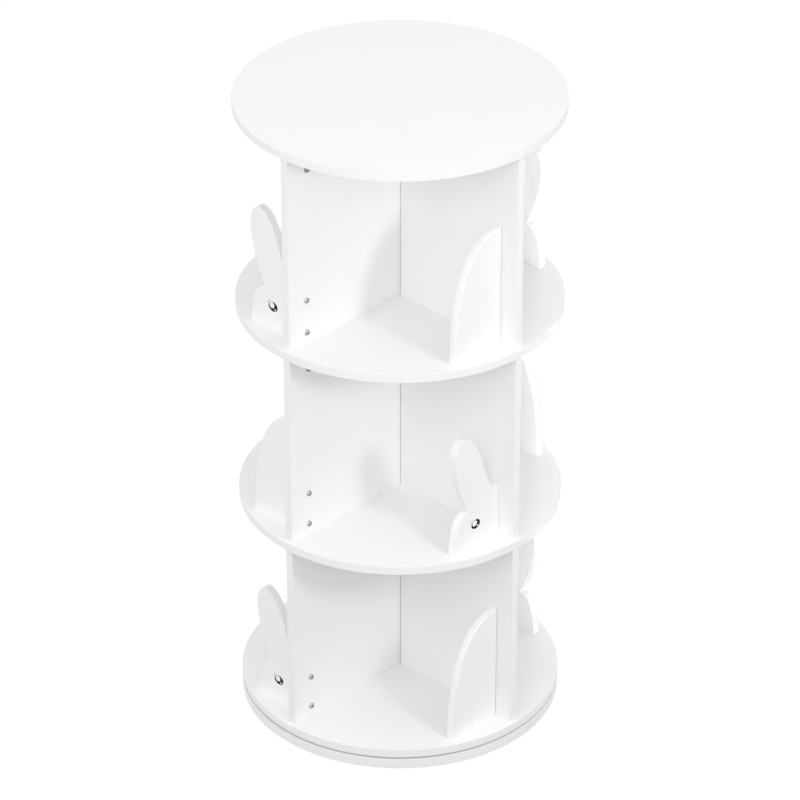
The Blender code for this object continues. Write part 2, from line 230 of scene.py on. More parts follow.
class Studio(bpy.types.PropertyGroup):
    camera_distance: length("Camera distance", "Camera's distance from the turning axis, in plan", 5.6797)
    camera_height: length("Camera height", "Camera's height above the floor", 3.8536)
    camera_side: rotation("Camera side", "Which way the camera looks in plan, from +Y", -46.35)
    camera_tilt: rotation("Camera tilt", "How far the camera looks down", 30.74)
    camera_reach: length("Camera reach", "How far from the camera things still show", 100.0)
    lens: millimetres("Lens", "Focal length of the lens", 210.18)
    frame_width: millimetres("Frame width", "Width of the camera's frame", 36.0)
    sky: number("Sky", "Strength of the even studio light", 0.87)
    main: watts("Main light", "Power of the small lamp that throws the stops' shadows", 5.2)
    main_spot: spot("Main light place", "Where the main lamp stands", (-0.12, -1.58, 1.27))
    main_width: length("Main light width", "Width of the main lamp", 0.25)
    broad: watts("Broad light", "Power of the wide soft lamp", 10.0)
    broad_spot: spot("Broad light place", "Where the wide lamp stands", (-1.73, -1.0, 1.75))
    broad_width: length("Broad light width", "Width of the wide lamp", 1.2)
    side: watts("Side light", "Power of the low soft lamp on the left", 3.0)
    side_spot: spot("Side light place", "Where the low lamp stands", (-1.73, 1.0, 0.45))
    side_width: length("Side light width", "Width of the low lamp", 1.0)
    strip: watts("Strip light", "Power of the narrow lamp that fills in the shade on the right", 0.19)
    strip_spot: spot("Strip light place", "Where the narrow lamp stands", (-0.718, -1.44, 0.637))
    strip_aim: spot("Strip light aim", "What the narrow lamp faces", (0.195, -0.137, 0.47))
    strip_width: length("Strip light width", "Width of the narrow lamp", 0.12)
    strip_height: length("Strip light height", "Height of the narrow lamp", 0.84)
    strip_spread: rotation("Strip light spread", "Angle into which the narrow lamp shines", 6.0)
    floor_size: length("Floor size", "Width of the studio floor", 40.0)
    white: number("Floor white", "Brightness of the white that the camera sees over the floor", 1.17)
    cover: FloatProperty(
        name="Floor cover",
        description="Share of the floor that the white hides, which leaves a faint shadow",
        default=0.8,
        min=0.0,
        max=1.0,
        subtype="FACTOR",
    )


SETTINGS = {
    "bookcase_boards": BoardSizes,
    "bookcase_stops": StopSizes,
    "bookcase_eyes": EyeSizes,
    "bookcase_fittings": FittingSizes,
    "bookcase_finishes": Finishes,
    "bookcase_studio": Studio,
}


# Materials


class Value:
    """A shader socket that takes part in Python arithmetic by adding Math nodes."""

    def __init__(self, shader, socket):
        self.shader = shader
        self.socket = socket

    def math(self, operation, other):
        return self.shader.node("ShaderNodeMath", {"operation": operation}, {0: self, 1: other})

    def __add__(self, other):
        return self.math("ADD", other)

    __radd__ = __add__

    def __mul__(self, other):
        return self.math("MULTIPLY", other)

    __rmul__ = __mul__

    def between(self, low, high):
        """0 where the value is low or less, 1 where it is high or more, and evenly in between."""
        settings = {"clamp": True}
        sockets = {"Value": self, "From Min": low, "From Max": high}
        return self.shader.node("ShaderNodeMapRange", settings, sockets)


class Shader:
    """The nodes of one material or world, which are all made afresh."""

    def __init__(self, owner):
        owner.use_nodes = True
        self.owner = owner
        self.tree = owner.node_tree
        self.tree.nodes.clear()

    def fill(self, socket, value):
        if isinstance(value, Value):
            self.tree.links.new(value.socket, socket)
        elif socket.type == "RGBA":
            socket.default_value = (*value, 1.0)
        else:
            socket.default_value = value

    def node(self, kind, settings, sockets, output=0):
        """Adds a node, with its settings first and its sockets then, and returns one output if it has any."""
        node = self.tree.nodes.new(kind)
        for name, value in settings.items():
            setattr(node, name, value)
        for name, value in sockets.items():
            self.fill(node.inputs[name], value)
        return Value(self, node.outputs[output]) if node.outputs else None

    def place(self):
        """Where a point lies, in the object's own coordinates."""
        return self.node("ShaderNodeTexCoord", {}, {}, output="Object")

    def noise(self, scale, detail=2.0, roughness=0.5):
        sockets = {"Vector": self.place(), "Scale": scale, "Detail": detail, "Roughness": roughness}
        return self.node("ShaderNodeTexNoise", {}, sockets)

    def bump(self, height, distance, strength=1.0):
        return self.node("ShaderNodeBump", {}, {"Height": height, "Distance": distance, "Strength": strength})

    def tint(self, base, toward, amount):
        settings = {"data_type": "RGBA", "blend_type": "MIX"}
        return self.node("ShaderNodeMix", settings, {0: amount, 6: base, 7: toward}, output=2)

    def principled(self, **sockets):
        named = {name.replace("_", " "): value for name, value in sockets.items()}
        return self.node("ShaderNodeBsdfPrincipled", {}, named)

    def seen(self):
        """1 for what the camera sees straight, in a gloss or through a glass, and 0 for light on things."""
        camera, gloss, glass = (
            self.node("ShaderNodeLightPath", {}, {}, output=ray)
            for ray in ("Is Camera Ray", "Is Glossy Ray", "Is Transmission Ray")
        )
        return camera + gloss + glass

    def surface(self, **sockets):
        """Ends a material in one Principled shader with those sockets."""
        self.node("ShaderNodeOutputMaterial", {}, {"Surface": self.principled(**sockets)})
        return self.owner


def darker(tone, factor):
    return tuple(channel * factor for channel in tone)


def laminate_material(tone):
    """Melamine laminate: a fine pearl texture, with a faint cloudiness in the colour and the gloss."""
    shader = Shader(bpy.data.materials.new("White laminate"))
    cloud = shader.noise(scale=14.0, detail=3.0)
    pearl = shader.noise(scale=900.0, detail=2.0, roughness=0.6)
    grain = shader.noise(scale=3200.0, detail=1.0)
    pearl_height = pearl.between(0.35, 0.68) + grain * 0.25
    return shader.surface(
        Base_Color=shader.tint(tone, darker(tone, 0.985), cloud),
        Roughness=0.36 + pearl * 0.10 + cloud * 0.05,
        Normal=shader.bump(pearl_height, distance=0.00003, strength=0.6),
    )


def band_material(tone):
    """Plastic edge band, smoother than the laminate, with a faint pearl texture."""
    shader = Shader(bpy.data.materials.new("White edge band"))
    cloud = shader.noise(scale=20.0)
    pearl = shader.noise(scale=700.0, detail=1.0)
    return shader.surface(
        Base_Color=shader.tint(tone, darker(tone, 0.985), cloud),
        Roughness=0.28 + pearl * 0.08,
        Normal=shader.bump(pearl, distance=0.00002, strength=0.5),
    )


def stop_material(tone):
    """Sprayed white lacquer over a routed board, with the slight orange peel that a spray gun leaves."""
    shader = Shader(bpy.data.materials.new("White stop lacquer"))
    cloud = shader.noise(scale=22.0, detail=2.0)
    peel = shader.noise(scale=420.0, detail=1.5)
    fibre = shader.noise(scale=2600.0, detail=1.0)
    return shader.surface(
        Base_Color=shader.tint(tone, darker(tone, 0.98), cloud),
        Roughness=0.34 + peel * 0.08 + cloud * 0.04,
        Normal=shader.bump(peel + fibre * 0.15, distance=0.00004, strength=0.5),
    )


def zinc_material(tone):
    """Bright zinc over steel, with small crystals in its gloss and a few dull spots."""
    shader = Shader(bpy.data.materials.new("Zinc-plated steel"))
    sockets = {"Vector": shader.place(), "Scale": 1500.0}
    crystals = shader.node("ShaderNodeTexVoronoi", {"feature": "F1"}, sockets)
    spots = shader.noise(scale=260.0, detail=3.0).between(0.5, 0.72)
    return shader.surface(
        Base_Color=shader.tint(tone, darker(tone, 0.7), spots),
        Metallic=1.0,
        Roughness=0.24 + crystals * 0.12 + spots * 0.14,
        Normal=shader.bump(crystals, distance=0.00001, strength=0.4),
    )


def rubber_material(tone):
    """Moulded rubber with a fine grain, a little dusty in places."""
    shader = Shader(bpy.data.materials.new("Grey rubber"))
    grain = shader.noise(scale=1800.0, detail=2.0)
    dust = shader.noise(scale=90.0, detail=3.0).between(0.45, 0.8)
    dust_tone = (0.34, 0.33, 0.32)
    return shader.surface(
        Base_Color=shader.tint(tone, dust_tone, dust * 0.4),
        Roughness=0.66 + grain * 0.2,
        Normal=shader.bump(grain, distance=0.00006),
    )


def ink_material(tone):
    """Screen-printed ink, which covers a little less well from spot to spot."""
    shader = Shader(bpy.data.materials.new("Black print"))
    screen = shader.noise(scale=2400.0, detail=1.0)
    thin_tone = (0.014, 0.014, 0.015)
    return shader.surface(
        Base_Color=shader.tint(tone, thin_tone, screen),
        Roughness=0.45 + screen * 0.12,
        Specular_IOR_Level=0.12,
        Normal=shader.bump(screen, distance=0.00001, strength=0.4),
    )


MAKERS = {
    "laminate": laminate_material,
    "band": band_material,
    "stop": stop_material,
    "zinc": zinc_material,
    "rubber": rubber_material,
    "ink": ink_material,
}
# A finish that takes the colour of another
TONES = {"stop": "laminate"}
# The materials so far
made = {}


def finish(context, name):
    """The material of that finish, made the first time it is asked for."""
    if name not in made:
        tone = getattr(context.scene.bookcase_finishes, TONES.get(name, name))
        made[name] = MAKERS[name](tuple(tone))
    return made[name]


# Meshes

# Distance within which two points are one
MERGE = 1e-6
# Sharpest turn between two faces that still looks smooth
SMOOTH_ANGLE = math.radians(42.0)


def to_mesh(bm, name):
    """Turns a bmesh into a closed mesh with its faces outwards, smooth up to an angle."""
    bmesh.ops.remove_doubles(bm, verts=bm.verts[:], dist=MERGE)
    bmesh.ops.recalc_face_normals(bm, faces=bm.faces[:])
    mesh = bpy.data.meshes.new(name)
    bm.to_mesh(mesh)
    bm.free()
    mesh.shade_smooth()
    mesh.set_sharp_from_angle(angle=SMOOTH_ANGLE)
    return mesh


def round_edges(bm, edges, radius, segments):
    bmesh.ops.bevel(
        bm,
        geom=edges,
        offset=radius,
        offset_type="OFFSET",
        segments=segments,
        profile=0.5,
        affect="EDGES",
        clamp_overlap=True,
        material=-1,
    )


def edges_where(bm, test):
    """The edges whose two ends both pass the test."""
    return [edge for edge in bm.edges if all(test(vert.co) for vert in edge.verts)]


def rim_edges(bm, radius):
    """The level edges that lie at a radius from the +Z axis, or further out."""
    outside = edges_where(bm, lambda co: co.xy.length > radius - MERGE)
    return [edge for edge in outside if abs(edge.verts[0].co.z - edge.verts[1].co.z) < MERGE]


def is_upright(edge):
    start, end = (vert.co for vert in edge.verts)
    return abs(start.x - end.x) < MERGE and abs(start.y - end.y) < MERGE


def spun(profile, sides, ring=False):
    """A bmesh spun round +Z from a profile of (radius, height). A ring's profile closes on itself."""
    bm = bmesh.new()
    points = [bm.verts.new((radius, 0.0, height)) for radius, height in profile]
    edges = [bm.edges.new(pair) for pair in zip(points, points[1:])]
    if ring:
        edges.append(bm.edges.new((points[-1], points[0])))
    bmesh.ops.spin(
        bm,
        geom=points + edges,
        cent=(0.0, 0.0, 0.0),
        axis=(0.0, 0.0, 1.0),
        angle=math.tau,
        steps=sides,
        use_merge=True,
    )
    bmesh.ops.remove_doubles(bm, verts=bm.verts[:], dist=MERGE)
    return bm


def block(low, high):
    """A bmesh box from its lowest corner to its highest."""
    bm = bmesh.new()
    low, high = Vector(low), Vector(high)
    bmesh.ops.create_cube(bm, size=1.0, matrix=Matrix.LocRotScale((low + high) / 2, None, high - low))
    return bm


def rod(bm, radius, x, z, low, high, sides):
    """Adds a round rod along Y to a bmesh."""
    place = Matrix.Translation((x, (low + high) / 2, z)) @ Matrix.Rotation(math.pi / 2, 4, "X")
    bmesh.ops.create_cone(
        bm,
        cap_ends=True,
        segments=sides,
        radius1=radius,
        radius2=radius,
        depth=high - low,
        matrix=place,
    )


def cut(mesh, tool):
    """The mesh less another mesh. Both are used up."""
    body = bpy.data.objects.new("body", mesh)
    cutter = bpy.data.objects.new("cutter", tool)
    for obj in (body, cutter):
        bpy.context.scene.collection.objects.link(obj)
    modifier = body.modifiers.new("Cut", "BOOLEAN")
    modifier.operation = "DIFFERENCE"
    modifier.solver = "EXACT"
    modifier.object = cutter
    evaluated = body.evaluated_get(bpy.context.evaluated_depsgraph_get())
    result = bpy.data.meshes.new_from_object(evaluated)
    for obj in (body, cutter):
        bpy.data.objects.remove(obj, do_unlink=True)
    for spent in (mesh, tool):
        bpy.data.meshes.remove(spent)
    result.shade_smooth()
    result.set_sharp_from_angle(angle=SMOOTH_ANGLE)
    return result


def standing(turn=0.0, height=0.0):
    """Where a piece made at the +X wall goes: turned about +Z by an angle in degrees, and raised."""
    return Matrix.Translation((0.0, 0.0, height)) @ Matrix.Rotation(math.radians(turn), 4, "Z")


def add_piece(context, name, mesh, finish_name, body, stands_for=(), place=Matrix()):
    """Adds a finished piece: a copy of the mesh in its place, riding on a body, for the nodes named."""
    own = mesh.copy()
    own.name = name
    own.transform(place)
    own.materials.clear()
    own.materials.append(finish(context, finish_name))
    piece = bpy.data.objects.new(name, own)
    context.scene.collection.objects.link(piece)
    shading = piece.modifiers.new("Even shading", "WEIGHTED_NORMAL")
    shading.keep_sharp = True
    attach(piece, body)
    if stands_for:
        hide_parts(*stands_for)


# Round boards


def board_mesh(sizes, radius, thickness, pocket_depth=0.0):
    """A round board without its edge band. A pocket depth leaves room in its underside for the turntable."""
    outer = radius - sizes.band - sizes.joint
    profile = [(0.0, thickness), (outer, thickness), (outer, 0.0)]
    if pocket_depth:
        pocket = PLATE_HIGH.x + sizes.pocket_margin
        profile += [(pocket, 0.0), (pocket, pocket_depth), (0.0, pocket_depth)]
    else:
        profile.append((0.0, 0.0))
    bm = spun(profile, sizes.sides)
    round_edges(bm, rim_edges(bm, outer), sizes.chamfer, segments=1)
    return to_mesh(bm, "round_board")


def band_ring_mesh(sizes, radius, thickness):
    """The edge band round a board."""
    inner = radius - sizes.band
    bm = spun([(inner, thickness), (radius, thickness), (radius, 0.0), (inner, 0.0)], sizes.sides, ring=True)
    round_edges(bm, rim_edges(bm, radius), sizes.rounding, segments=4)
    return to_mesh(bm, "band_ring")


class BOOKCASE_OT_round_boards(bpy.types.Operator):
    """Makes the fixed base and the four round boards of the carousel, each with its edge band"""

    bl_idname = "bookcase.round_boards"
    bl_label = "Round boards"

    def execute(self, context):
        sizes = context.scene.bookcase_boards
        for node in ("base_disc", *ROUND_BOARDS):
            low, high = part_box(node)
            thickness = high.z - low.z
            pocket = 0.0
            place = standing(height=low.z)
            if node == "bottom_disc":
                pocket = PLATE_HIGH.z + sizes.pocket_clearance - low.z
            if node == "base_disc":
                pocket = high.z + sizes.pocket_clearance - PLATE_LOW.z
                place = standing(height=high.z) @ Matrix.Rotation(math.pi, 4, "X")
            body = "base" if node == "base_disc" else "carousel"
            board = board_mesh(sizes, high.x, thickness, pocket)
            band = band_ring_mesh(sizes, high.x, thickness)
            add_piece(context, f"{node}_board", board, "laminate", body, [node], place)
            add_piece(context, f"{node}_edge_band", band, "band", body, [node], place)
        return {"FINISHED"}


# Walls


def wall_mesh(boards, fittings, inner, outer, ends):
    """A wall from inner to outer along X without its edge bands, bored at its ends.

    The ends with a band and a book stop are named by their side: 1 for +X, and -1 for -X.
    """
    half = WALL_HIGH.y
    height = WALL_HIGH.z - WALL_LOW.z
    cover = boards.band + boards.joint
    start = inner + (cover if -1 in ends else 0.0)
    bm = block((start, -half, boards.joint - SEAT), (outer - cover, half, height))
    if -1 not in ends:
        butt = edges_where(bm, lambda co: co.x < start + MERGE)
        round_edges(bm, [edge for edge in butt if is_upright(edge)], boards.butt, segments=2)
    past_butt = edges_where(bm, lambda co: co.x > start + boards.butt + MERGE)
    round_edges(bm, past_butt, boards.chamfer, segments=2)
    mesh = to_mesh(bm, "wall")
    cam_out = WALL_HIGH.x - fittings.cam_inset
    cam_level = height - fittings.cam_drop
    holes = bmesh.new()
    pockets = bmesh.new()
    for end in ends:
        for place in ("low", "high"):
            screw_low, screw_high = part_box(f"upper_right_{place}_screw")
            level = (screw_low.z + screw_high.z) / 2 - WALL_LOW.z
            rod(holes, fittings.screw_hole, end * SCREW_OUT, level, -2 * half, 2 * half, fittings.sides)
        floor, mouth = sorted((end * (half - fittings.cam_depth), end * 2 * half))
        rod(pockets, fittings.cam_pocket, end * cam_out, cam_level, floor, mouth, fittings.sides)
    mesh = cut(mesh, to_mesh(holes, "screw_holes"))
    return cut(mesh, to_mesh(pockets, "cam_pockets"))


def band_strip_mesh(boards):
    """The edge band on a wall's outer end."""
    outer = WALL_HIGH.x
    half = WALL_HIGH.y
    bm = block((outer - boards.band, -half, boards.joint - SEAT), (outer, half, WALL_HIGH.z - WALL_LOW.z))
    outside = edges_where(bm, lambda co: co.x > outer - MERGE)
    round_edges(bm, [edge for edge in outside if is_upright(edge)], boards.rounding, segments=4)
    return to_mesh(bm, "band_strip")


class BOOKCASE_OT_walls(bpy.types.Operator):
    """Makes the upright walls of the three tiers, bored for their fittings, with a band on each outer edge"""

    bl_idname = "bookcase.walls"
    bl_label = "Walls"

    def execute(self, context):
        boards = context.scene.bookcase_boards
        fittings = context.scene.bookcase_fittings
        half_low, half_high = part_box("upper_back_half_wall")
        through = wall_mesh(boards, fittings, WALL_LOW.x, WALL_HIGH.x, ends=(1, -1))
        half = wall_mesh(boards, fittings, half_low.y, half_high.y, ends=(1,))
        strip = band_strip_mesh(boards)
        for tier in TIERS:
            node = f"{tier}_through_wall"
            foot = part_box(node)[0].z
            add_piece(context, f"{node}_board", through, "laminate", "carousel", [node], standing(0.0, foot))
            for side, turn in TURNS.items():
                place = standing(turn, foot)
                wall = node
                if side in ("back", "front"):
                    wall = f"{tier}_{side}_half_wall"
                    add_piece(context, f"{wall}_board", half, "laminate", "carousel", [wall], place)
                add_piece(context, f"{tier}_{side}_wall_edge_band", strip, "band", "carousel", [wall], place)
        return {"FINISHED"}


# Book stops

# The ear's outline up its wall side, over the tip and down, as shares of the stop's length and height
EAR_OUTLINE_SHARES = (
    (0.12, 0.435),
    (0.228, 0.52),
    (0.326, 0.635),
    (0.414, 0.765),
    (0.512, 0.873),
    (0.64, 0.960),
    (0.806, 1.0),
    (0.934, 0.960),
    (0.992, 0.850),
    (0.968, 0.715),
    (0.89, 0.575),
    (0.80, 0.46),
)


def between_points(before, start, end, after, share):
    """One coordinate of a smooth curve, a share of the way from start to end."""
    slope = (end - before) * share
    bend = (2 * before - 5 * start + 4 * end - after) * share**2
    turn = (3 * start - before - 3 * end + after) * share**3
    return 0.5 * (2 * start + slope + bend + turn)


def smooth_curve(points, steps):
    """Points on a smooth curve through the given ones, with the same number of steps in each span."""
    padded = [points[0], *points, points[-1]]
    curve = []
    for span in zip(padded, padded[1:], padded[2:], padded[3:]):
        for step in range(steps):
            curve.append(tuple(between_points(*values, step / steps) for values in zip(*span)))
    curve.append(points[-1])
    return curve


def plain_outline(stops):
    """A straight back on the wall and a front that curves over to the top, as (distance out, height)."""
    reach = PLAIN_HIGH.y - PLAIN_LOW.y
    height = PLAIN_HIGH.z - PLAIN_LOW.z
    outline = [(0.0, 0.0)]
    for step in range(stops.steps + 1):
        angle = math.radians(90.0) * step / stops.steps
        out = reach * abs(math.cos(angle)) ** (2 / stops.plain_power)
        up = height * abs(math.sin(angle)) ** (2 / stops.plain_power)
        outline.append((out, up))
    return outline


def rabbit_outline(stops):
    """The cheek, the ear and the shoulder of a rabbit stop, as (distance out, height)."""
    reach = STOP_HIGH.y - STOP_LOW.y
    height = STOP_HIGH.z - STOP_LOW.z
    cheek_middle = reach - stops.cheek_length
    cheek_steps = stops.steps // 2
    ear_steps = stops.steps // 8
    outline = [(0.0, 0.0)]
    for step in range(cheek_steps + 1):
        angle = stops.notch * step / cheek_steps
        across = stops.cheek_length * abs(math.cos(angle)) ** (2 / stops.cheek_power)
        up = stops.cheek_height * math.sin(angle) ** (2 / stops.cheek_power)
        outline.append((cheek_middle + math.copysign(across, math.cos(angle)), up))
    notch = outline.pop()
    ear = [(out * reach, up * height) for out, up in EAR_OUTLINE_SHARES]
    ear[0] = (ear[0][0], stops.shoulder)
    outline += reversed(smooth_curve([*ear, notch], ear_steps))
    outline.append((0.0, stops.shoulder))
    return outline


def stop_mesh(stops, boards, fittings, outline):
    """A book stop sawn to its outline, tight on the shelf, with blind holes for its screws.

    Its rims are rounded all along the outline, but not where it stands on the shelf.
    """
    back = STOP_HIGH.y
    lift = STOP_LOW.z - TIER_FLOORS["upper"]
    bm = bmesh.new()
    corners = [bm.verts.new((STOP_LOW.x, back - out, lift + up)) for out, up in outline]
    grown = bmesh.ops.extrude_face_region(bm, geom=[bm.faces.new(corners)])
    moved = [part for part in grown["geom"] if isinstance(part, bmesh.types.BMVert)]
    bmesh.ops.translate(bm, verts=moved, vec=(STOP_HIGH.x - STOP_LOW.x, 0.0, 0.0))
    rims = edges_where(bm, lambda co: co.x < STOP_LOW.x + MERGE)
    rims += edges_where(bm, lambda co: co.x > STOP_HIGH.x - MERGE)
    on_shelf = edges_where(bm, lambda co: co.z < lift + MERGE)
    round_edges(bm, [edge for edge in rims if edge not in on_shelf], stops.rounding, segments=4)
    foot = [vert for vert in bm.verts if vert.co.z < lift + MERGE]
    bmesh.ops.translate(bm, verts=foot, vec=(0.0, 0.0, boards.joint - SEAT))
    holes = bmesh.new()
    for place in ("low", "high"):
        low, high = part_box(f"upper_right_{place}_screw")
        level = (low.z + high.z) / 2 - TIER_FLOORS["upper"]
        rod(holes, fittings.screw_hole, SCREW_OUT, level, low.y - fittings.play, 0.0, fittings.sides)
    return cut(to_mesh(bm, "stop"), to_mesh(holes, "stop_holes"))


class BOOKCASE_OT_book_stops(bpy.types.Operator):
    """Makes the plain and the rabbit-shaped book stops"""

    bl_idname = "bookcase.book_stops"
    bl_label = "Book stops"

    def execute(self, context):
        stops = context.scene.bookcase_stops
        boards = context.scene.bookcase_boards
        fittings = context.scene.bookcase_fittings
        meshes = {
            "plain": stop_mesh(stops, boards, fittings, plain_outline(stops)),
            "rabbit": stop_mesh(stops, boards, fittings, rabbit_outline(stops)),
        }
        for tier in TIERS:
            for side, turn in TURNS.items():
                kind = "rabbit" if f"{tier}_{side}_rabbit_stop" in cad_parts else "plain"
                node = f"{tier}_{side}_{kind}_stop"
                place = standing(turn, TIER_FLOORS[tier])
                add_piece(context, f"{node}_finished", meshes[kind], "stop", "carousel", [node], place)
        return {"FINISHED"}


# Printed eyes

# Degrees from the eye's outer corner up to each lash
LASHES = (22.0, 40.0, 58.0)
# Keeps the back of a print just clear of the board
PRINT_GAP = 1e-6


def oval(bm, middle, half_width, half_height, segments, turn=0.0, filled=False):
    place = Matrix.LocRotScale((*middle, 0.0), Matrix.Rotation(turn, 3, "Z"), (half_width, half_height, 1.0))
    bmesh.ops.create_circle(bm, cap_ends=filled, segments=segments, radius=1.0, matrix=place)


def eye_mesh(eyes):
    """An oval with two bare highlights, and three lashes. It lies in XY, with its outer side towards -X."""
    bm = bmesh.new()
    oval(bm, (0.0, 0.0), eyes.half_width, eyes.half_height, segments=56)
    oval(bm, eyes.highlight_spot, eyes.highlight, eyes.highlight, segments=40)
    oval(bm, eyes.glint_spot, eyes.glint_width, eyes.glint_height, segments=24)
    bmesh.ops.triangle_fill(bm, use_beauty=True, edges=bm.edges[:])
    for degrees in LASHES:
        angle = math.radians(180.0 - degrees)
        out = math.cos(angle) * (eyes.half_width + eyes.lash_gap)
        up = math.sin(angle) * (eyes.half_height + eyes.lash_gap)
        oval(bm, (out, up), eyes.lash_length, eyes.lash_width, segments=16, turn=angle, filled=True)
    grown = bmesh.ops.extrude_face_region(bm, geom=bm.faces[:])
    moved = [part for part in grown["geom"] if isinstance(part, bmesh.types.BMVert)]
    bmesh.ops.translate(bm, verts=moved, vec=(0.0, 0.0, eyes.thickness))
    return to_mesh(bm, "eye_print")


class BOOKCASE_OT_eye_prints(bpy.types.Operator):
    """Prints an eye on the outer face of each rabbit-shaped stop"""

    bl_idname = "bookcase.eye_prints"
    bl_label = "Eye prints"

    def execute(self, context):
        eyes = context.scene.bookcase_eyes
        mesh = eye_mesh(eyes)
        # Stands the print up, with its X along +Y, its Y along +Z and its face towards +X
        upright = Matrix(((0, 0, 1, 0), (1, 0, 0, 0), (0, 1, 0, 0), (0, 0, 0, 1)))
        on_face = Matrix.Translation((STOP_HIGH.x + PRINT_GAP, -WALL_HIGH.y - eyes.out, eyes.up)) @ upright
        for tier in TIERS:
            for side, turn in TURNS.items():
                if f"{tier}_{side}_rabbit_stop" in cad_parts:
                    place = standing(turn, TIER_FLOORS[tier]) @ on_face
                    add_piece(context, f"{tier}_{side}_eye_print", mesh, "ink", "carousel", place=place)
        return {"FINISHED"}


# Screws and cam locks

# A screw's head from its crown down to its seat, as shares of its radius and height
HEAD_PROFILE_SHARES = (
    (0.0, 1.0),
    (0.35, 0.985),
    (0.60, 0.90),
    (0.80, 0.70),
    (0.93, 0.42),
    (1.0, 0.12),
    (0.985, 0.0),
)
# A screw's shank, as a share of its head's radius
SHANK_SHARE = 0.41
# A cam lock's face from its middle to its rim, as shares of its radius and of its groove's depth
CAM_FACE_SHARES = (
    (0.0, 0.0),
    (0.66, 0.0),
    (0.68, 1.0),
    (0.74, 1.0),
    (0.76, 0.0),
    (0.95, 0.0),
    (1.0, 0.75),
)
# The arrow between the groove and the rim, as a share of the cam lock's radius
ARROW_SHARE = 0.86
# The end of a driver's tip, as shares of the cross's span and of its arms' width
TIP_SPAN_SHARE = 0.45
TIP_WIDTH_SHARE = 0.6
# Degrees that a screw's cross turns for each letter of the screw's name, so that they don't all stand alike
TWIST = 37.0


def cross_cutter(half_span, half_width, depth, top):
    """The cross-shaped tip of a driver, which tapers to a depth below the given top."""
    bm = bmesh.new()
    wide = (top + depth, half_span, half_width)
    narrow = (top - depth, TIP_SPAN_SHARE * half_span, TIP_WIDTH_SHARE * half_width)
    for level, span, width in (wide, narrow):
        corners = []
        for quarter in range(4):
            turn = Matrix.Rotation(math.pi / 2 * quarter, 3, "Z")
            for x, y in ((width, -width), (span, -width), (span, width)):
                corners.append(bm.verts.new(turn @ Vector((x, y, level))))
        bm.faces.new(corners)
    bmesh.ops.bridge_loops(bm, edges=bm.edges[:])
    return to_mesh(bm, "driver_tip")


def screw_mesh(fittings):
    """A pan head screw that points down -Z from its head's seat at z = 0."""
    head = fittings.head
    tall = fittings.head_height
    shank = SHANK_SHARE * (SCREW_HIGH.z - SCREW_LOW.z) / 2
    length_below = SCREW_HIGH.y - SCREW_LOW.y - tall
    profile = [(out * head, up * tall) for out, up in HEAD_PROFILE_SHARES]
    profile += [(shank, 0.0), (shank, fittings.tip - length_below), (0.0, -length_below)]
    mesh = to_mesh(spun(profile, fittings.sides), "screw")
    return cut(mesh, cross_cutter(fittings.recess, fittings.recess_width, fittings.recess_depth, tall))


def cam_mesh(fittings):
    """A cam lock that points down -Z from its face at z = 0, with its arrow towards -Y."""
    radius = fittings.cam_radius
    foot = fittings.cam_sunk + fittings.play - fittings.cam_depth
    profile = [(out * radius, -down * fittings.cam_groove) for out, down in CAM_FACE_SHARES]
    profile += [(radius, foot), (0.0, foot)]
    mesh = to_mesh(spun(profile, fittings.cam_sides), "cam_lock")
    recess = cross_cutter(fittings.cam_recess, fittings.cam_recess_width, fittings.cam_recess_depth, 0.0)
    mesh = cut(mesh, recess)
    arrow = bmesh.new()
    bmesh.ops.create_cone(
        arrow,
        cap_ends=True,
        segments=3,
        radius1=fittings.cam_arrow,
        radius2=fittings.cam_arrow,
        depth=fittings.cam_arrow,
        matrix=Matrix.Translation((0.0, -ARROW_SHARE * radius, 0.0)) @ Matrix.Rotation(math.pi / 6, 4, "Z"),
    )
    return cut(mesh, to_mesh(arrow, "arrow"))


class BOOKCASE_OT_fittings(bpy.types.Operator):
    """Makes the screws that hold the book stops and the cam locks that hold the walls"""

    bl_idname = "bookcase.fittings"
    bl_label = "Screws and cam locks"

    def execute(self, context):
        fittings = context.scene.bookcase_fittings
        outwards = Matrix.Rotation(-math.pi / 2, 4, "X")
        screw = screw_mesh(fittings)
        screw_seat = Matrix.Translation((SCREW_OUT, SCREW_HIGH.y - fittings.head_height, 0.0)) @ outwards
        cam = cam_mesh(fittings)
        cam_out = WALL_HIGH.x - fittings.cam_inset
        cam_seat = Matrix.Translation((cam_out, WALL_HIGH.y - fittings.cam_sunk, 0.0)) @ outwards
        for tier in TIERS:
            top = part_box(f"{tier}_through_wall")[1].z
            for side, turn in TURNS.items():
                for height in ("low", "high"):
                    node = f"{tier}_{side}_{height}_screw"
                    low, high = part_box(node)
                    twist = Matrix.Rotation(math.radians(TWIST * len(node) + turn), 4, "Z")
                    place = standing(turn, (low.z + high.z) / 2) @ screw_seat @ twist
                    add_piece(context, f"{node}_finished", screw, "zinc", "carousel", [node], place)
                place = standing(turn, top - fittings.cam_drop) @ cam_seat
                add_piece(context, f"{tier}_{side}_cam_lock", cam, "zinc", "carousel", place=place)
        return {"FINISHED"}


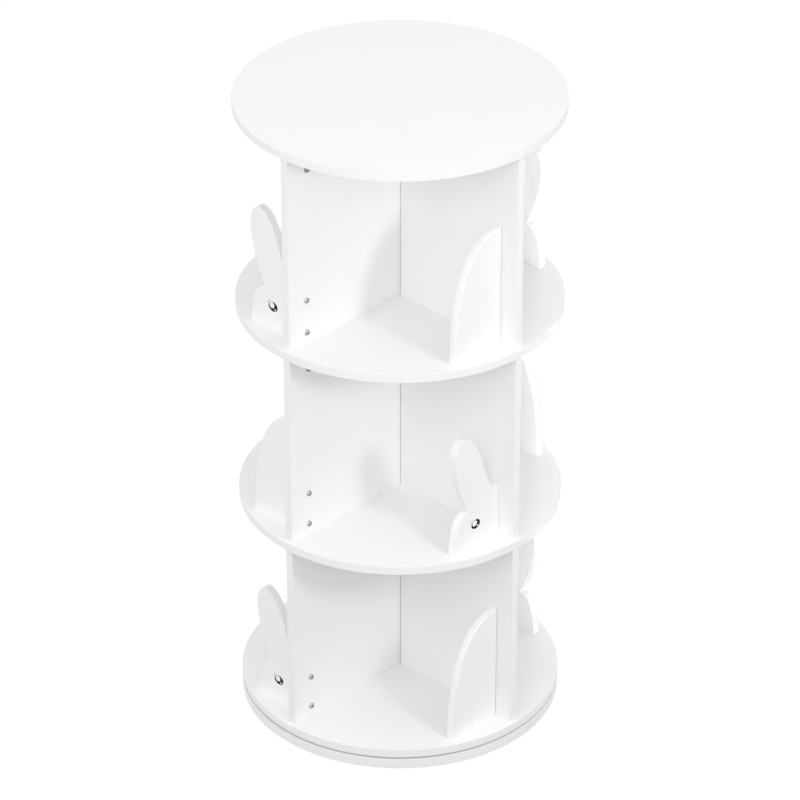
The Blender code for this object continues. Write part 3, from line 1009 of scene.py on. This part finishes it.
class BOOKCASE_OT_base_fittings(bpy.types.Operator):
    """Makes the foot pads, and finishes the turntable's plates and balls"""

    bl_idname = "bookcase.base_fittings"
    bl_label = "Foot pads and turntable"

    def execute(self, context):
        fittings = context.scene.bookcase_fittings
        radius = (FOOT_HIGH.x - FOOT_LOW.x) / 2
        thickness = FOOT_HIGH.z
        bm = spun([(0.0, thickness), (radius, thickness), (radius, 0.0), (0.0, 0.0)], fittings.sides)
        lower_rim = [edge for edge in rim_edges(bm, radius) if edge.verts[0].co.z < MERGE]
        round_edges(bm, lower_rim, fittings.pad_rounding, segments=3)
        pad = to_mesh(bm, "foot_pad")
        out = Matrix.Translation(((FOOT_HIGH.x + FOOT_LOW.x) / 2, 0.0, 0.0))
        for number in range(FOOT_COUNT):
            node = f"foot_pad_{number + 1}"
            place = standing(360.0 * number / FOOT_COUNT) @ out
            add_piece(context, f"{node}_finished", pad, "rubber", "base", [node], place)
        for node in ("turntable_lower_plate", "turntable_upper_plate", "ball_ring"):
            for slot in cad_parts[node].material_slots:
                slot.material = finish(context, "zinc")
        return {"FINISHED"}


# Studio

WHITE = (1.0, 1.0, 1.0)


def floor_material(tone, white, cover):
    """A pale floor. The camera sees white laid over it, through which a faint shadow still shows."""
    shader = Shader(bpy.data.materials.new("Studio floor"))
    speckle = shader.noise(scale=60.0)
    floor = shader.principled(
        Base_Color=shader.tint(tone, darker(tone, 0.99), speckle),
        Roughness=0.9,
        Specular_IOR_Level=0.0,
    )
    bright = shader.node("ShaderNodeEmission", {}, {"Color": WHITE, "Strength": white})
    both = shader.node("ShaderNodeMixShader", {}, {0: shader.seen() * cover, 1: floor, 2: bright})
    shader.node("ShaderNodeOutputMaterial", {}, {"Surface": both})
    return shader.owner


def studio_world(sky):
    """An even light at the strength of the sky, which itself shows white."""
    shader = Shader(bpy.data.worlds.new("Studio"))
    light = shader.node("ShaderNodeBackground", {}, {"Color": WHITE, "Strength": sky})
    backdrop = shader.node("ShaderNodeBackground", {}, {"Color": WHITE, "Strength": 1.0})
    both = shader.node("ShaderNodeMixShader", {}, {0: shader.seen(), 1: light, 2: backdrop})
    shader.node("ShaderNodeOutputWorld", {}, {"Surface": both})
    return shader.owner


def add_softbox(context, name, power, place, width, height=None, aim=None, spread=math.pi):
    """A lamp that stays out of the picture.

    It is square, faces the middle of the bookcase and spreads its light wide if nothing else is said.
    """
    lamp = bpy.data.lights.new(name, "AREA")
    lamp.shape = "RECTANGLE"
    lamp.energy = power
    lamp.size = width
    lamp.size_y = height or width
    lamp.spread = spread
    box = bpy.data.objects.new(name, lamp)
    target = Vector(aim or (0.0, 0.0, CAD_BOX[1][2] / 2))
    box.location = place
    box.rotation_euler = (Vector(place) - target).to_track_quat("Z", "Y").to_euler()
    box.visible_camera = False
    context.scene.collection.objects.link(box)


class BOOKCASE_OT_stage(bpy.types.Operator):
    """Makes the floor, the even light, the lamps and the camera"""

    bl_idname = "bookcase.stage"
    bl_label = "Studio"

    def execute(self, context):
        studio = context.scene.bookcase_studio
        bm = bmesh.new()
        bmesh.ops.create_grid(bm, x_segments=1, y_segments=1, size=studio.floor_size / 2)
        floor = bpy.data.objects.new("studio_floor", to_mesh(bm, "studio_floor"))
        context.scene.collection.objects.link(floor)
        tone = tuple(context.scene.bookcase_finishes.floor)
        floor.data.materials.append(floor_material(tone, studio.white, studio.cover))

        context.scene.world = studio_world(studio.sky)
        add_softbox(context, "main_light", studio.main, studio.main_spot, studio.main_width)
        add_softbox(context, "broad_light", studio.broad, studio.broad_spot, studio.broad_width)
        add_softbox(context, "side_light", studio.side, studio.side_spot, studio.side_width)
        add_softbox(
            context,
            "strip_light",
            studio.strip,
            studio.strip_spot,
            studio.strip_width,
            height=studio.strip_height,
            aim=studio.strip_aim,
            spread=studio.strip_spread,
        )

        view = bpy.data.cameras.new("photo_camera")
        view.sensor_width = studio.frame_width
        view.lens = studio.lens
        view.clip_end = studio.camera_reach
        camera = bpy.data.objects.new("photo_camera", view)
        back = studio.camera_side - math.pi / 2
        camera.location = (
            studio.camera_distance * math.cos(back),
            studio.camera_distance * math.sin(back),
            studio.camera_height,
        )
        camera.rotation_euler = (math.pi / 2 - studio.camera_tilt, 0.0, studio.camera_side)
        context.scene.collection.objects.link(camera)
        context.scene.camera = camera
        context.scene.view_settings.view_transform = "Standard"
        return {"FINISHED"}


OPERATORS = (
    BOOKCASE_OT_round_boards,
    BOOKCASE_OT_walls,
    BOOKCASE_OT_book_stops,
    BOOKCASE_OT_eye_prints,
    BOOKCASE_OT_fittings,
    BOOKCASE_OT_base_fittings,
    BOOKCASE_OT_stage,
)


class BOOKCASE_PT_panel(bpy.types.Panel):
    """The bookcase's sizes and finishes, and a button for each group of its pieces"""

    bl_label = "Revolving bookcase"
    bl_idname = "BOOKCASE_PT_panel"
    bl_space_type = "VIEW_3D"
    bl_region_type = "UI"
    bl_category = "Bookcase"

    def draw(self, context):
        for setting in SETTINGS:
            group = getattr(context.scene, setting)
            box = self.layout.box()
            for name in group.__annotations__:
                box.prop(group, name)
        for operator in OPERATORS:
            self.layout.operator(operator.bl_idname)


def register():
    for group in (*SETTINGS.values(), *OPERATORS, BOOKCASE_PT_panel):
        bpy.utils.register_class(group)
    for setting, group in SETTINGS.items():
        setattr(bpy.types.Scene, setting, PointerProperty(type=group))


def unregister():
    for setting in SETTINGS:
        delattr(bpy.types.Scene, setting)
    for group in (BOOKCASE_PT_panel, *reversed(OPERATORS), *reversed(SETTINGS.values())):
        bpy.utils.unregister_class(group)


def main():
    register()
    for operator in OPERATORS:
        group, name = operator.bl_idname.split(".")
        getattr(getattr(bpy.ops, group), name)()
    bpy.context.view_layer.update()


if __name__ == "__main__":
    main()
